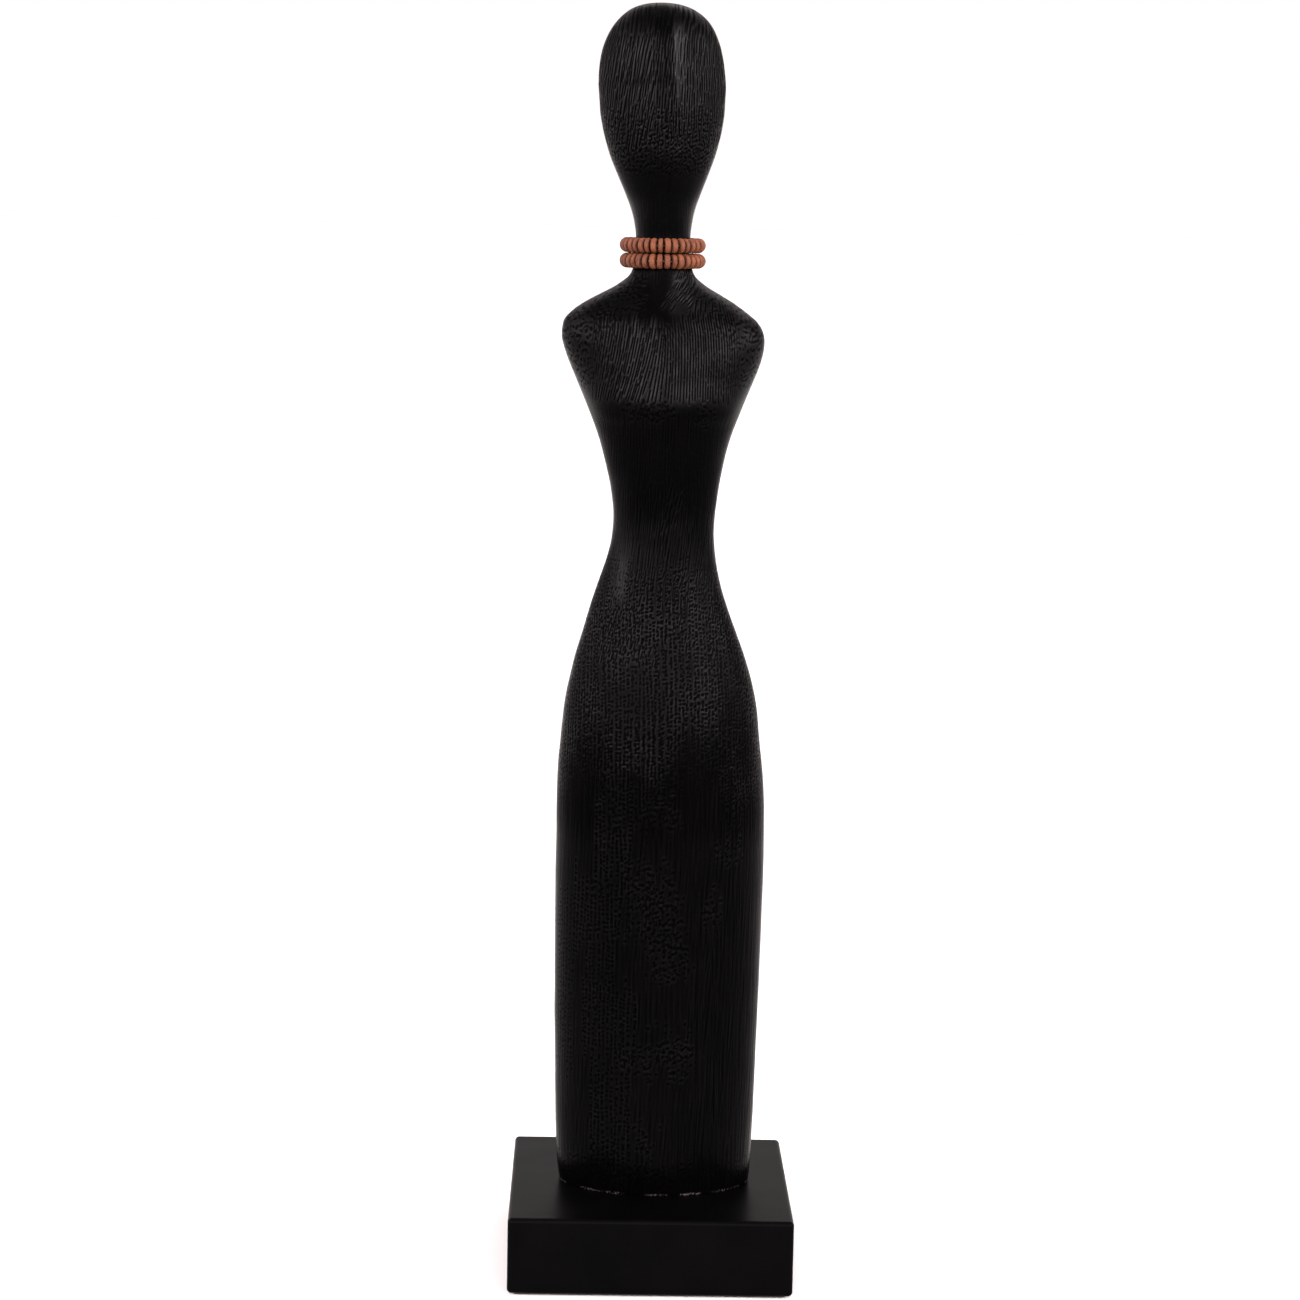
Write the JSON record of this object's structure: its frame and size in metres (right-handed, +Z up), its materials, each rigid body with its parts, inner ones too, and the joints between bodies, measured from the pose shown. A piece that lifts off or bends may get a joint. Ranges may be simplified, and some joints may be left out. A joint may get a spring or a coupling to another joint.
{
  "type": "carved standing figure",
  "caption": "Slender faceless female figure carved in blackened wood, on a square plinth, with two strands of disc beads lying loose round its neck.",
  "frame": {"origin": "middle of the underside of the rubber sheet under the plinth, on the surface that the object stands on", "axes": "+Z up along the figure, +X towards the figure's left side, +Y towards its back; the ridge of the face looks towards -Y"},
  "size_m": [0.136, 0.136, 0.608],
  "materials": {
    "carved_wood": "black stain, satin, gouge marks",
    "plinth_wood": "smooth black satin paint",
    "pad_rubber": "matt",
    "screw_steel": "zinc plated",
    "cotton_thread": "waxed cotton",
    "bead_wood": "matt reddish brown"
  },
  "bodies": {
    "figure": {"carved_figure": "carved_wood", "plinth": "plinth_wood", "underside_pad": "pad_rubber", "base_screw_left": "screw_steel", "base_screw_right": "screw_steel"},
    "lower_loop": {"lower_thread": "cotton_thread"},
    "lower_strand": {"lower_beads": "bead_wood"},
    "upper_loop": {"upper_thread": "cotton_thread"},
    "upper_strand": {"upper_beads": "bead_wood"}
  },
  "joints": [
    {"name": "lower_strand_lift", "type": "slide", "parent": "figure", "child": "lower_loop", "axis": [0, 0, 1], "range_m": [0, 0.0035]},
    {"name": "lower_strand_turn", "type": "hinge", "parent": "lower_loop", "child": "lower_strand", "pos_m": [-0.002, 0, 0.4879], "axis": [0, 0, 1], "continuous": true},
    {"name": "upper_strand_lift", "type": "slide", "parent": "lower_loop", "child": "upper_loop", "axis": [0, 0, 1], "range_m": [0, 0.0035]},
    {"name": "upper_strand_turn", "type": "hinge", "parent": "upper_loop", "child": "upper_strand", "pos_m": [-0.002, 0, 0.4952], "axis": [0, 0, 1], "continuous": true}
  ]
}
